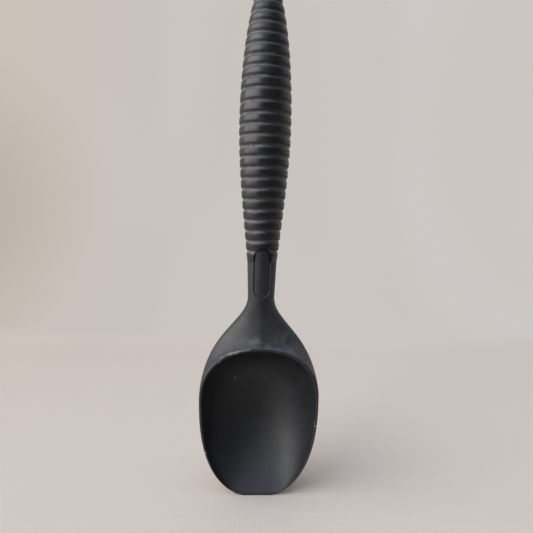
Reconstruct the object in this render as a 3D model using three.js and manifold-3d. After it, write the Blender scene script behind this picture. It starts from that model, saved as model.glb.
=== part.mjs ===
// Ice cream scoop: a hard head (bowl, shoulder, neck and hollow tang in one moulding),
// a soft ribbed grip pushed over the tang, and a domed plug that closes the handle.
// Millimetres. The scoop stands upright on its lip: +Z runs up the handle and the bowl
// opens towards -Y. The origin is the middle of the flat lip edge.

import * as THREE from 'three';
import { mergeVertices } from 'three/addons/utils/BufferGeometryUtils.js';
import Module from 'manifold-3d';

// Bowl
const BOWL_HALF_WIDTH = 25.85;
const BOWL_LENGTH = 65.8; // lip to the top of the rim
const BOWL_DEPTH = 23.5; // rim plane to the back
const WIDEST_HEIGHT = 43.0; // the bowl is widest and deepest here
const LIP_HALF_WIDTH = 6.0;
const LIP_THICKNESS = 1.4;
const LIP_LAND = 0.6; // blunt front edge of the lip
const RIM_THICKNESS = 1.2;
const BOWL_WALL = 2.0;
const OUTLINE_POWER = 2.41; // 2 is an ellipse, more is squarer
const LIP_RISE = 4.0; // first handle of the back line, up from the lip
const LIP_SWEEP = 5.0; // and backwards from it
const BACK_FULLNESS = 26.0; // how far below the deepest point the back stays full
const HOOD_FULLNESS = 20.0; // and how far above it

// Shoulder and neck
const SHOULDER_LENGTH = 21.6; // top of the rim to the start of the neck
const SHOULDER_FULLNESS = 26.5; // how far above the widest point the sides stay wide
const SHOULDER_FILLET = 12.4; // how far below the neck the sides run straight
const NAPE_FILLET = 16.0; // the same at the back
const BULGE_DROP = 7.0; // the walls begin to swell behind the rim this far below the widest point
const ARCH_POWER = 2.2; // of the rim's arch and the shoulder's front: 2 is an ellipse, more is squarer
const AXIS_SETBACK = 7.0; // rim plane to the handle's axis
const NECK_LENGTH = 15.3;
const NECK_RADIUS = 5.75; // at its slimmest, above the shoulder
const NECK_TOP_RADIUS = 6.3; // under the grip

// Recess on the front of the neck, running up into the grip
const RECESS_WIDTH = 7.25;
const RECESS_LENGTH = 20.8;
const RECESS_INTO_GRIP = 5.6;
const RECESS_DEPTH = 0.55;
const NOTCH_CLEARANCE = 0.3;

// Ribbed spindle grip
const RIB_COUNT = 25;
const RIB_PITCH = 4.332;
const GROOVE_DEPTH = 0.45;
const GROOVE_HALF_WIDTH = 0.9;
const RIB_CROWN = 0.05; // swell of the rib's face
const TALL_RIB_GAIN = 0.243; // one rib under the thumb is taller by about this share
const TALL_RIB_HEIGHT = 66.0; // above the seat of the grip
const TALL_RIB_SPREAD = 3.04;
const SEAT_RADIUS = 6.35;
const SEAT_CHAMFER = 0.15; // on the grip's lower edge, where it meets the neck
const SWELL_RADIUS = 10.88;
const SWELL_HEIGHT = 56.9; // above the seat of the grip
const SEAT_FLARE_LENGTH = 26.0;
const SEAT_FLARE_RISE = 2.86;
const SWELL_REACH_DOWN = 15.6;
const SWELL_REACH_UP = 18.8;
const END_RADIUS = 5.1; // where the ribs stop
const END_FLARE_LENGTH = 13.4;
const END_FLARE_RISE = 4.0;
const END_DOME_HEIGHT = 5.2;

// Inside the grip
const SLEEVE_WALL = 1.0; // under the grooves at both ends
const SLEEVE_CLEARANCE = 0.15;
const TANG_WALL = 1.8;
const TANG_SHORTFALL = 0.3; // the tang ends this far below the sleeve
const CORE_FLOOR = 4.0; // solid tang above the recess
const PLUG_STEM_LENGTH = 12.0;
const PLUG_CLEARANCE = 0.15;

// Facets
const BACK_SIDES = 24;
const FRONT_SIDES = 10; // on each side of the middle
const GRIP_SIDES = 32;
const LOWER_STATIONS = 14;
const ARCH_STATIONS = 11;
const SHOULDER_STATIONS = 9;
const CAVITY_SIDES = 26;
const END_STEPS = 9;
const RECESS_ARC_STEPS = 10;

// Places that follow from the sizes
const RIM_Y = -LIP_THICKNESS / 2;
const AXIS_Y = RIM_Y + AXIS_SETBACK;
const BULGE_START = WIDEST_HEIGHT - BULGE_DROP;
const NECK_START = BOWL_LENGTH + SHOULDER_LENGTH;
const GRIP_SEAT = NECK_START + NECK_LENGTH;
const RECESS_TOP = GRIP_SEAT + RECESS_INTO_GRIP;
const CUT_MARGIN = 5.0; // how far a cutter runs past what it cuts

const wasm = await Module();
wasm.setup();

/** Value of a curve of (height, value) points at a height, for curves that only climb. */
function readCurve(curve, height) {
  let low = 0;
  let high = 1;
  for (let i = 0; i < 40; i += 1) {
    const middle = (low + high) / 2;
    if (curve.getPoint(middle).x < height) low = middle;
    else high = middle;
  }
  return curve.getPoint((low + high) / 2).y;
}

/** Cubic curve between two (height, value) ends, each with its own handle. */
function cubic(startHeight, start, handleA, handleB, endHeight, end) {
  return new THREE.CubicBezierCurve(
    new THREE.Vector2(startHeight, start),
    new THREE.Vector2(startHeight + handleA[0], start + handleA[1]),
    new THREE.Vector2(endHeight + handleB[0], end + handleB[1]),
    new THREE.Vector2(endHeight, end),
  );
}

function smoothStep(t) {
  const s = Math.min(1, Math.max(0, t));
  return s * s * (3 - 2 * s);
}

/** Closed surface through rings of equal count, stacked in order, with both ends capped. */
function skin(rings) {
  const count = rings[0].length;
  const positions = [];
  const index = [];
  rings.forEach((ring) => ring.forEach((p) => positions.push(p.x, p.y, p.z)));
  for (let r = 0; r + 1 < rings.length; r += 1) {
    for (let i = 0; i < count; i += 1) {
      const a = r * count + i;
      const b = r * count + ((i + 1) % count);
      index.push(a, b, b + count, a, b + count, a + count);
    }
  }
  [rings[0], rings[rings.length - 1]].forEach((ring, end) => {
    const middle = ring.reduce((sum, p) => sum.add(p), new THREE.Vector3()).divideScalar(count);
    const hub = positions.length / 3;
    const base = end === 0 ? 0 : (rings.length - 1) * count;
    positions.push(middle.x, middle.y, middle.z);
    for (let i = 0; i < count; i += 1) {
      const a = base + i;
      const b = base + ((i + 1) % count);
      if (end === 0) index.push(hub, b, a);
      else index.push(hub, a, b);
    }
  });
  const geometry = new THREE.BufferGeometry();
  geometry.setAttribute('position', new THREE.Float32BufferAttribute(positions, 3));
  geometry.setIndex(index);
  return geometry;
}

/** Profile of (radius, height) points turned about the handle's axis. */
function revolve(profile, sides) {
  const lathe = new THREE.LatheGeometry(profile.map(([r, z]) => new THREE.Vector2(r, z)), sides);
  lathe.rotateX(Math.PI / 2);
  lathe.translate(0, AXIS_Y, 0);
  return lathe;
}

/** Closed geometry as a solid that can be joined and cut. */
function solid(geometry) {
  const bare = geometry.clone();
  bare.deleteAttribute('normal');
  bare.deleteAttribute('uv');
  const merged = mergeVertices(bare, 1e-5);
  const index = merged.index.array;
  const corners = [];
  for (let i = 0; i < index.length; i += 3) {
    const [a, b, c] = [index[i], index[i + 1], index[i + 2]];
    if (a !== b && b !== c && c !== a) corners.push(a, b, c);
  }
  return new wasm.Manifold(new wasm.Mesh({
    numProp: 3,
    vertProperties: Float32Array.from(merged.attributes.position.array),
    triVerts: Uint32Array.from(corners),
  }));
}

function toGeometry(body) {
  const mesh = body.getMesh();
  const geometry = new THREE.BufferGeometry();
  geometry.setAttribute('position', new THREE.Float32BufferAttribute(mesh.vertProperties, 3));
  geometry.setIndex(Array.from(mesh.triVerts));
  geometry.computeVertexNormals();
  return geometry;
}

// Outlines of the bowl and shoulder, each as a value for a height above the lip
const outlineReach = WIDEST_HEIGHT
  / (1 - (LIP_HALF_WIDTH / BOWL_HALF_WIDTH) ** OUTLINE_POWER) ** (1 / OUTLINE_POWER);
const shoulderLine = cubic(
  WIDEST_HEIGHT, BOWL_HALF_WIDTH, [SHOULDER_FULLNESS, 0], [-SHOULDER_FILLET, 0], NECK_START, NECK_RADIUS,
);
const lowerBackLine = cubic(
  0, LIP_THICKNESS, [LIP_RISE, LIP_SWEEP], [-BACK_FULLNESS, 0], WIDEST_HEIGHT, BOWL_DEPTH,
);
const napeLine = cubic(
  WIDEST_HEIGHT, BOWL_DEPTH, [HOOD_FULLNESS, 0], [-NAPE_FILLET, 0], NECK_START, AXIS_SETBACK + NECK_RADIUS,
);

/** Half width of the outside. */
function halfWidth(z) {
  if (z >= WIDEST_HEIGHT) return readCurve(shoulderLine, z);
  const below = (WIDEST_HEIGHT - z) / outlineReach;
  return BOWL_HALF_WIDTH * (1 - below ** OUTLINE_POWER) ** (1 / OUTLINE_POWER);
}

/** Distance of the back behind the rim plane. */
function backReach(z) {
  return readCurve(z < WIDEST_HEIGHT ? lowerBackLine : napeLine, z);
}

/** Distance of the widest line of the wall behind the rim plane: none at the lip, the axis at the neck. */
function girthSetback(z) {
  return AXIS_SETBACK * smoothStep((z - BULGE_START) / (NECK_START - BULGE_START));
}

/** Half width of the rim's outer edge: the whole width up to the widest point, an arch above it. */
function rimHalfWidth(z) {
  if (z <= WIDEST_HEIGHT) return halfWidth(z);
  const climb = Math.min(1, (z - WIDEST_HEIGHT) / (BOWL_LENGTH - WIDEST_HEIGHT));
  return Math.min(halfWidth(z), BOWL_HALF_WIDTH * (1 - climb ** ARCH_POWER) ** (1 / ARCH_POWER));
}

/** Distance of the front ahead of the widest line: up to the rim plane, then to the front of the shoulder. */
function frontReach(z) {
  if (z <= BOWL_LENGTH) return girthSetback(z);
  const recession = AXIS_SETBACK - NECK_RADIUS; // of the neck behind the rim plane
  const archSlope = (girthSetback(BOWL_LENGTH) / (BOWL_LENGTH - WIDEST_HEIGHT))
    * (BOWL_HALF_WIDTH / halfWidth(BOWL_LENGTH)) ** ARCH_POWER;
  const ease = (archSlope * SHOULDER_LENGTH) / recession;
  const left = Math.max(0, (NECK_START - z) / SHOULDER_LENGTH);
  return girthSetback(z) - recession * (1 - left ** ease);
}

/** Level ring through the outside: half an ellipse at the back, and two front walls that end at the rim. */
function levelRing(z, wide, girthY, rear, front, rim, power) {
  const narrowing = 1 - (rim / wide) ** power;
  const ring = [];
  for (let i = 0; i <= BACK_SIDES; i += 1) {
    const angle = (i / BACK_SIDES) * Math.PI;
    ring.push(new THREE.Vector3(wide * Math.cos(angle), girthY + rear * Math.sin(angle), z));
  }
  for (let i = 1; i <= 2 * FRONT_SIDES; i += 1) {
    const step = i <= FRONT_SIDES ? i : 2 * FRONT_SIDES + 1 - i;
    const ahead = Math.sin((step / FRONT_SIDES) * Math.PI / 2) ** (2 / power);
    const x = wide * Math.max(0, 1 - narrowing * ahead ** power) ** (1 / power);
    ring.push(new THREE.Vector3(i <= FRONT_SIDES ? -x : x, girthY - front * ahead, z));
  }
  return ring;
}

function bodyRing(z) {
  const setback = girthSetback(z);
  const roundness = smoothStep((z - BOWL_LENGTH) / SHOULDER_LENGTH);
  const power = ARCH_POWER + (2 - ARCH_POWER) * roundness;
  const rear = backReach(z) - setback;
  return levelRing(z, halfWidth(z), RIM_Y + setback, rear, frontReach(z), rimHalfWidth(z), power);
}

function roundRing(radius, z) {
  return levelRing(z, radius, AXIS_Y, radius, radius, 0, 2);
}

// Heights of the grooves between the ribs, from the seat up; one rib under the thumb is taller
const grooves = [GRIP_SEAT];
while (grooves.length <= RIB_COUNT) {
  const from = grooves[grooves.length - 1];
  const offset = (from + RIB_PITCH / 2 - GRIP_SEAT - TALL_RIB_HEIGHT) / TALL_RIB_SPREAD;
  grooves.push(from + RIB_PITCH * (1 + TALL_RIB_GAIN * Math.exp(-offset * offset)));
}
const SLEEVE_TOP = grooves[RIB_COUNT];
const HANDLE_TIP = SLEEVE_TOP + END_DOME_HEIGHT;
const TANG_TOP = SLEEVE_TOP - TANG_SHORTFALL;

// Spindle outline of the grip over the ribs' faces
const swellZ = GRIP_SEAT + SWELL_HEIGHT;
const lowerSpindle = cubic(
  GRIP_SEAT, SEAT_RADIUS, [SEAT_FLARE_LENGTH, SEAT_FLARE_RISE], [-SWELL_REACH_DOWN, 0], swellZ, SWELL_RADIUS,
);
const upperSpindle = cubic(
  swellZ, SWELL_RADIUS, [SWELL_REACH_UP, 0], [-END_FLARE_LENGTH, END_FLARE_RISE], SLEEVE_TOP, END_RADIUS,
);

function spindleRadius(z) {
  return readCurve(z < swellZ ? lowerSpindle : upperSpindle, z);
}

const BORE_ROOT_RADIUS = SEAT_RADIUS - GROOVE_DEPTH - SLEEVE_WALL;
const BORE_TIP_RADIUS = END_RADIUS - GROOVE_DEPTH - SLEEVE_WALL;
const CORE_RADIUS = BORE_TIP_RADIUS - SLEEVE_CLEARANCE - TANG_WALL;
const CORE_BOTTOM = RECESS_TOP + CORE_FLOOR;

/** Radius of the tapered bore in the grip. */
function boreRadius(z) {
  const share = (z - GRIP_SEAT) / (SLEEVE_TOP - GRIP_SEAT);
  return BORE_ROOT_RADIUS + (BORE_TIP_RADIUS - BORE_ROOT_RADIUS) * share;
}

/** Radius of the floor of the recess, which keeps its depth along the tapered neck. */
function recessFloorRadius(z) {
  const taper = (NECK_TOP_RADIUS - NECK_RADIUS) / NECK_LENGTH;
  return NECK_RADIUS + taper * (z - NECK_START) - RECESS_DEPTH;
}

/** Round-ended block over the front of the handle, with the outline of the recess plus a margin. */
function recessBlock(margin) {
  const half = RECESS_WIDTH / 2 + margin;
  const lowCentre = RECESS_TOP - RECESS_LENGTH + RECESS_WIDTH / 2;
  const highCentre = RECESS_TOP - RECESS_WIDTH / 2;
  const outline = new THREE.Shape();
  outline.absarc(0, highCentre, half, 0, Math.PI, false);
  outline.absarc(0, lowCentre, half, Math.PI, 2 * Math.PI, false);
  outline.closePath();
  const depth = SWELL_RADIUS + CUT_MARGIN;
  const block = new THREE.ExtrudeGeometry(outline, {
    depth,
    bevelEnabled: false,
    curveSegments: RECESS_ARC_STEPS,
  });
  block.rotateX(Math.PI / 2);
  block.translate(0, AXIS_Y, 0);
  return solid(block);
}

/** Hollow of the bowl: half ellipses behind the rim plane, run straight out in front of it. */
function cavitySolid() {
  const top = BOWL_LENGTH - RIM_THICKNESS;
  const depth = BOWL_DEPTH - BOWL_WALL;
  const roundHandle = 0.5523; // handle length of a quarter ellipse drawn as a cubic
  const lower = cubic(LIP_LAND, 0, [LIP_RISE, LIP_SWEEP], [-BACK_FULLNESS, 0], WIDEST_HEIGHT, depth);
  const upper = cubic(
    WIDEST_HEIGHT, depth, [roundHandle * (top - WIDEST_HEIGHT), 0], [0, roundHandle * depth], top, 0,
  );
  const stretch = (BOWL_LENGTH - WIDEST_HEIGHT) / (top - WIDEST_HEIGHT);
  const narrowing = 1 - RIM_THICKNESS / BOWL_HALF_WIDTH;
  const rings = [];
  const addRing = (z) => {
    const above = z > WIDEST_HEIGHT;
    const rimZ = above ? WIDEST_HEIGHT + (z - WIDEST_HEIGHT) * stretch : z;
    const wide = rimHalfWidth(rimZ) * narrowing;
    const deep = readCurve(above ? upper : lower, z);
    const ring = [];
    for (let i = 0; i <= CAVITY_SIDES; i += 1) {
      const angle = (i / CAVITY_SIDES) * Math.PI;
      ring.push(new THREE.Vector3(wide * Math.cos(angle), RIM_Y + deep * Math.sin(angle), z));
    }
    ring.push(new THREE.Vector3(-wide, RIM_Y - CUT_MARGIN, z));
    ring.push(new THREE.Vector3(wide, RIM_Y - CUT_MARGIN, z));
    rings.push(ring);
  };
  for (let i = 0; i <= LOWER_STATIONS; i += 1) {
    const climb = 1 - Math.cos((i / LOWER_STATIONS) * Math.PI / 2);
    addRing(LIP_LAND + (WIDEST_HEIGHT - LIP_LAND) * climb);
  }
  const lastStation = 0.97; // the hollow's crown closes on a short flat
  for (let i = 1; i <= LOWER_STATIONS; i += 1) {
    const climb = Math.sin((i / LOWER_STATIONS) * lastStation * Math.PI / 2);
    addRing(WIDEST_HEIGHT + (top - WIDEST_HEIGHT) * climb);
  }
  return solid(skin(rings));
}

function makeHead() {
  const rings = [];
  for (let i = 0; i < LOWER_STATIONS; i += 1) {
    rings.push(bodyRing(WIDEST_HEIGHT * (1 - Math.cos((i / LOWER_STATIONS) * Math.PI / 2))));
  }
  for (let i = 0; i < ARCH_STATIONS; i += 1) {
    const climb = Math.sin((i / ARCH_STATIONS) * Math.PI / 2);
    rings.push(bodyRing(WIDEST_HEIGHT + (BOWL_LENGTH - WIDEST_HEIGHT) * climb));
  }
  for (let i = 0; i <= SHOULDER_STATIONS; i += 1) {
    rings.push(bodyRing(BOWL_LENGTH + SHOULDER_LENGTH * (i / SHOULDER_STATIONS)));
  }
  rings.push(roundRing(NECK_TOP_RADIUS, GRIP_SEAT));
  rings.push(roundRing(boreRadius(GRIP_SEAT) - SLEEVE_CLEARANCE, GRIP_SEAT));
  rings.push(roundRing(boreRadius(TANG_TOP) - SLEEVE_CLEARANCE, TANG_TOP));
  rings.push(roundRing(CORE_RADIUS, TANG_TOP));
  rings.push(roundRing(CORE_RADIUS, CORE_BOTTOM));

  const floorBottom = RECESS_TOP - RECESS_LENGTH - CUT_MARGIN;
  const floorTop = RECESS_TOP + CUT_MARGIN;
  const floor = solid(revolve([
    [0, floorBottom],
    [recessFloorRadius(floorBottom), floorBottom],
    [recessFloorRadius(floorTop), floorTop],
    [0, floorTop],
  ], 2 * BACK_SIDES));
  const block = recessBlock(0);

  return toGeometry(
    solid(skin(rings))
      .subtract(cavitySolid())
      .subtract(block.subtract(floor))
      .add(block.intersect(floor)),
  );
}

function makeSleeve() {
  const profile = [
    [boreRadius(GRIP_SEAT), GRIP_SEAT],
    [SEAT_RADIUS - SEAT_CHAMFER, GRIP_SEAT],
  ];
  for (let i = 0; i < RIB_COUNT; i += 1) {
    const groove = grooves[i + 1];
    const faceLow = grooves[i] + (i === 0 ? SEAT_CHAMFER : GROOVE_HALF_WIDTH);
    const faceHigh = groove - GROOVE_HALF_WIDTH;
    const faceMiddle = (faceLow + faceHigh) / 2;
    profile.push([spindleRadius(faceLow), faceLow]);
    profile.push([spindleRadius(faceMiddle) + RIB_CROWN, faceMiddle]);
    profile.push([spindleRadius(faceHigh), faceHigh]);
    profile.push([spindleRadius(groove) - GROOVE_DEPTH, groove]);
  }
  profile.push([boreRadius(SLEEVE_TOP), SLEEVE_TOP]);
  profile.push(profile[0]);
  return toGeometry(solid(revolve(profile, GRIP_SIDES)).subtract(recessBlock(NOTCH_CLEARANCE)));
}

function makePlug() {
  const stem = CORE_RADIUS - PLUG_CLEARANCE;
  const edgeZ = SLEEVE_TOP + GROOVE_HALF_WIDTH;
  const profile = [
    [0, SLEEVE_TOP - PLUG_STEM_LENGTH],
    [stem, SLEEVE_TOP - PLUG_STEM_LENGTH],
    [stem, SLEEVE_TOP],
    [END_RADIUS - GROOVE_DEPTH, SLEEVE_TOP],
  ];
  for (let i = 0; i < END_STEPS; i += 1) {
    const turn = (i / END_STEPS) * Math.PI / 2;
    profile.push([END_RADIUS * Math.cos(turn), edgeZ + (HANDLE_TIP - edgeZ) * Math.sin(turn)]);
  }
  profile.push([0, HANDLE_TIP]);
  return toGeometry(solid(revolve(profile, GRIP_SIDES)));
}

function piece(name, geometry, colour, roughness) {
  const material = new THREE.MeshStandardMaterial({ color: colour, roughness, metalness: 0 });
  const mesh = new THREE.Mesh(geometry, material);
  mesh.name = name;
  return mesh;
}

const scoop = new THREE.Group();
scoop.add(piece('scoop_head', makeHead(), 0x1c1e22, 0.45));
scoop.add(piece('grip_sleeve', makeSleeve(), 0x222222, 0.75));
scoop.add(piece('end_plug', makePlug(), 0x1e1f21, 0.55));

export default scoop;
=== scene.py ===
"""Looks of a ribbed ice cream scoop: fine surfaces, finishes, stage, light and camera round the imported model.

Shapes are worked out in millimetres and stored in metres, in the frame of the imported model: +Z runs up the
handle, the bowl opens towards -Y and the origin is the middle of the lip.
"""
import math

import bmesh
import bpy
import numpy as np
from mathutils import Matrix, Vector


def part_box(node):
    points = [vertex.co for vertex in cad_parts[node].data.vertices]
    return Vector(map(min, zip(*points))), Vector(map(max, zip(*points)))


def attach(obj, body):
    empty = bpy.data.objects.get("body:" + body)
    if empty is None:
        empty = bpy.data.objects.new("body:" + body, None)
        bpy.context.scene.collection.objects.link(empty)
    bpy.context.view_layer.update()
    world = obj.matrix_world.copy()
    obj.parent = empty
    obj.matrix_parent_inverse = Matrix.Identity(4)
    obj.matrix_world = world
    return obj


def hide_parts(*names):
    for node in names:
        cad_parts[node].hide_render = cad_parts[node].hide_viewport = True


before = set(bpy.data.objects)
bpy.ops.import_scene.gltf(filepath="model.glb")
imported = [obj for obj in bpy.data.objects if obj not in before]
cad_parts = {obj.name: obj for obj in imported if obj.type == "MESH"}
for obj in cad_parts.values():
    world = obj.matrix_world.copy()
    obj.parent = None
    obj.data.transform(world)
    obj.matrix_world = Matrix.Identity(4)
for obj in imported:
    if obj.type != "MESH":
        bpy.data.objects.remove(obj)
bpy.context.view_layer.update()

MM = 0.001


def node_box(node):
    """Lowest and highest corner of a solid of the frame, in millimetres."""
    low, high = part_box(node)
    return np.array(low) / MM, np.array(high) / MM


HEAD_LOW, HEAD_HIGH = node_box("scoop_head")
GRIP_LOW, GRIP_HIGH = node_box("grip_sleeve")
PLUG_LOW, PLUG_HIGH = node_box("end_plug")

# Sizes read from the frame
BOWL_HALF_WIDTH = HEAD_HIGH[0]
BOWL_DEPTH = HEAD_HIGH[1] - HEAD_LOW[1]
RIM_Y = HEAD_LOW[1]
AXIS_Y = (GRIP_LOW[1] + GRIP_HIGH[1]) / 2
AXIS_SETBACK = AXIS_Y - RIM_Y
GRIP_SEAT = GRIP_LOW[2]
SLEEVE_TOP = GRIP_HIGH[2]
TANG_TOP = HEAD_HIGH[2]
END_RADIUS = PLUG_HIGH[0]
HANDLE_TIP = PLUG_HIGH[2]
PLUG_FOOT = PLUG_LOW[2]

# Bowl
BOWL_LENGTH = 65.8
WIDEST_HEIGHT = 43.0
LIP_HALF_WIDTH = 6.0
LIP_THICKNESS = 1.4
LIP_LAND = 0.6
RIM_THICKNESS = 1.2
BOWL_WALL = 2.0
OUTLINE_POWER = 2.41
ARCH_POWER = 2.2
BACK_LEAVE = (4.0, 5.0)
BACK_FULLNESS = 26.0
HOOD_FULLNESS = 20.0
RIM_ROUND = 0.3
RIM_ROUND_SIDES = 0.7
DISH_ROUND = 0.4
DISH_ROUND_ARCH = 0.85
SIDES_FROM = 12.0
ARCH_FROM = 46.0
ARCH_FULL = 58.0
BEAD_SHARE = 0.66

# Shoulder, neck and recess
NECK_LENGTH = 15.3
NECK_START = GRIP_SEAT - NECK_LENGTH
SHOULDER_LENGTH = NECK_START - BOWL_LENGTH
SHOULDER_FULLNESS = 26.5
SHOULDER_FILLET = 12.4
NAPE_FILLET = 16.0
BULGE_START = WIDEST_HEIGHT - 7.0
RIDGE_SLOPE = 0.34
RIDGE_ROUND = 1.0
RIDGE_NEAR = 0.2
RIDGE_FADE = 77.0
HOLLOW_DEPTH = 0.5
NECK_RADIUS = 5.75
NECK_TOP_RADIUS = 6.3
RECESS_WIDTH = 7.25
RECESS_LENGTH = 20.8
RECESS_TOP = GRIP_SEAT + 5.6
RECESS_DEPTH = 0.55
RECESS_WALL = 0.32
NOTCH_CLEARANCE = 0.15

# Ribbed grip, tang and plug
RIB_COUNT = 25
RIB_PITCH = 4.332
GROOVE_DEPTH = 0.45
GROOVE_HALF_WIDTH = 0.9
GROOVE_ROUND = 0.12
GROOVE_SOFTNESS = 0.18
RIB_CROWN = 0.05
TALL_RIB_GAIN = 0.243
TALL_RIB_HEIGHT = 66.0
TALL_RIB_SPREAD = 3.04
SEAT_RADIUS = 6.35
SEAT_CHAMFER = 0.15
SWELL_RADIUS = 10.88
SWELL_Z = GRIP_SEAT + 56.9
SEAT_FLARE = (26.0, 2.86)
SWELL_REACH_DOWN = 15.6
SWELL_REACH_UP = 18.8
END_FLARE = (13.4, -4.0)
SLEEVE_WALL = 1.0
SLEEVE_CLEARANCE = 0.15
TANG_WALL = 1.8
CORE_BOTTOM = RECESS_TOP + 4.0
PLUG_CLEARANCE = 0.15
PLUG_FLANK_POWER = 1.3
BORE_ROOT_RADIUS = SEAT_RADIUS - GROOVE_DEPTH - SLEEVE_WALL
BORE_TIP_RADIUS = END_RADIUS - GROOVE_DEPTH - SLEEVE_WALL
CORE_RADIUS = BORE_TIP_RADIUS - SLEEVE_CLEARANCE - TANG_WALL

# Places of wear and dust, and of painted highlight, painted sheen and painted shade
# Arch wear with a painted highlight, heaviest on the arch's left
WEAR_HIGHLIGHT_FROM = 57.5
WEAR_HIGHLIGHT_RISE = 8.0
WEAR_HIGHLIGHT_MIDDLE = -6.0
WEAR_HIGHLIGHT_SPREAD = 5.0
WEAR_HIGHLIGHT_RIGHT = 0.3
WEAR_HIGHLIGHT_BAND = 0.45
SCUFF_X = -2.2
SCUFF_Z = 68.6
SCUFF_WIDTH = 3.4
SCUFF_HEIGHT = 1.1
# Shoulder film: dust plus a painted sheen on the shoulder's front, heaviest on its right side
FILM_SHEEN_FROM = 50.0
FILM_SHEEN_FULL = 64.0
FILM_SHEEN_FADE = 66.0
FILM_SHEEN_END = 82.0
FILM_SHEEN_LEFT = 0.6
FILM_SHEEN_RIGHT = 1.9
FILM_SHEEN_SPREAD = 14.0
# Groove dust; it fades towards the right as painted shade
DUST_MIDDLE = -0.05
DUST_REACH = 0.5
DUST_SHADED_RIGHT = 0.2
DUST_SHADE_SPREAD = 0.8
# Painted shadow line just above each groove: its height over the groove's middle and its width
SHADE_LINE_RISE = 1.2
SHADE_LINE_WIDTH = 0.25

# Fineness of the meshes
RIM_ROWS = 104
SHOULDER_ROWS = 34
RECESS_STEP = 0.18
HEAD_COLUMNS = 220
FRONT_CROWDING = 0.45
FLANK_SHARES = np.array([0.0, 0.2, 0.45, 0.7, 0.9, 1.1, 1.3, 1.5, 1.75])
FACE_SHARES = np.array([0.5, 0.58])
CHAMFER_SHARES = np.array([0.0, 0.4, 1.0, 2.0])
DISH_RINGS = 44
BEAD_STEPS = 5
LIP_STEPS = 10
GRIP_COLUMNS = 128
NOTCH_ROWS = 16
PLUG_COLUMNS = 112
PLUG_ROWS = 24
PLUG_FLANK_ROWS = 5
SECTION_SAMPLES = 160
CURVE_SAMPLES = 4001
EDGE_HALVINGS = 40
COVE_ROWS = 33
MERGE_DISTANCE = 1e-7
SHARP_ANGLE = math.radians(38)


def smooth_step(t):
    s = np.clip(t, 0, 1)
    return s * s * (3 - 2 * s)


def climb(heights, start, end, leave, arrive):
    """Value at each height of a cubic curve between two (height, value) ends that only climbs.

    leave and arrive are the curve's handles, each measured onwards along the curve.
    """
    t = np.linspace(0, 1, CURVE_SAMPLES)[:, None]
    a = np.array(start, float)
    d = np.array(end, float)
    b = a + np.array(leave, float)
    c = d - np.array(arrive, float)
    points = a * (1 - t) ** 3 + 3 * b * t * (1 - t) ** 2 + 3 * c * t ** 2 * (1 - t) + d * t ** 3
    return np.interp(heights, points[:, 0], points[:, 1])


def half_width(z):
    """Half width of the head: a superellipse below the widest point, a flowing curve up to the neck."""
    reach = WIDEST_HEIGHT / (1 - (LIP_HALF_WIDTH / BOWL_HALF_WIDTH) ** OUTLINE_POWER) ** (1 / OUTLINE_POWER)
    below = np.clip((WIDEST_HEIGHT - z) / reach, 0, 1)
    lower = BOWL_HALF_WIDTH * (1 - below ** OUTLINE_POWER) ** (1 / OUTLINE_POWER)
    upper = climb(z, (WIDEST_HEIGHT, BOWL_HALF_WIDTH), (NECK_START, NECK_RADIUS),
                  (SHOULDER_FULLNESS, 0), (SHOULDER_FILLET, 0))
    return np.where(z < WIDEST_HEIGHT, lower, upper)


def back_reach(z):
    """Distance of the back behind the rim plane: one curve up to the deepest point, one on to the nape."""
    lower = climb(z, (0, LIP_THICKNESS), (WIDEST_HEIGHT, BOWL_DEPTH), BACK_LEAVE, (BACK_FULLNESS, 0))
    upper = climb(z, (WIDEST_HEIGHT, BOWL_DEPTH), (NECK_START, AXIS_SETBACK + NECK_RADIUS),
                  (HOOD_FULLNESS, 0), (NAPE_FILLET, 0))
    return np.where(z < WIDEST_HEIGHT, lower, upper)


def girth_setback(z):
    """Distance of the wall's widest line behind the rim plane: none at the lip, the axis at the neck."""
    return AXIS_SETBACK * smooth_step((z - BULGE_START) / (NECK_START - BULGE_START))


def rim_half_width(z):
    """Half width of the rim's outer edge: the whole width up to the widest point, an arch above it."""
    up = np.clip((z - WIDEST_HEIGHT) / (BOWL_LENGTH - WIDEST_HEIGHT), 0, 1)
    arch = BOWL_HALF_WIDTH * (1 - up ** ARCH_POWER) ** (1 / ARCH_POWER)
    return np.where(z < WIDEST_HEIGHT, half_width(z), np.minimum(half_width(z), arch))


def front_reach(z):
    """Distance of the front ahead of the widest line: to the rim plane, or the shoulder's front."""
    top = np.array([BOWL_LENGTH])
    slope = girth_setback(top) / (BOWL_LENGTH - WIDEST_HEIGHT)
    slope = slope * (BOWL_HALF_WIDTH / half_width(top)) ** ARCH_POWER
    recession = AXIS_SETBACK - NECK_RADIUS
    left = np.clip((NECK_START - z) / SHOULDER_LENGTH, 0, 1)
    behind = recession * (1 - left ** (slope * SHOULDER_LENGTH / recession))
    return girth_setback(z) - np.where(z > BOWL_LENGTH, behind, 0)


def shoulder_sink(x, z):
    """How far the shoulder's front sinks behind its plain form: none at the arch and at the neck.

    Outwards from the arch a slope to each side rises to its full value and leaves a rounded ridge in the
    middle; a shallow hollow lies between the arch and the neck.
    """
    up = np.maximum(z - WIDEST_HEIGHT, 0) / (BOWL_LENGTH - WIDEST_HEIGHT)
    reach = (NECK_START - WIDEST_HEIGHT) / (BOWL_LENGTH - WIDEST_HEIGHT)
    outside = np.maximum((np.abs(x) / BOWL_HALF_WIDTH) ** ARCH_POWER + up ** ARCH_POWER - 1, 0)
    outside = np.where(z > WIDEST_HEIGHT, outside, 0)
    sides = RIDGE_SLOPE * (np.hypot(x, RIDGE_ROUND) - RIDGE_ROUND) * outside / (outside + RIDGE_NEAR)
    fade = smooth_step((NECK_START - z) / (NECK_START - RIDGE_FADE))
    along = np.sqrt(np.minimum(outside / (reach ** ARCH_POWER - 1), 1))
    return sides * fade + HOLLOW_DEPTH * np.sin(math.pi * along) ** 2


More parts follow.
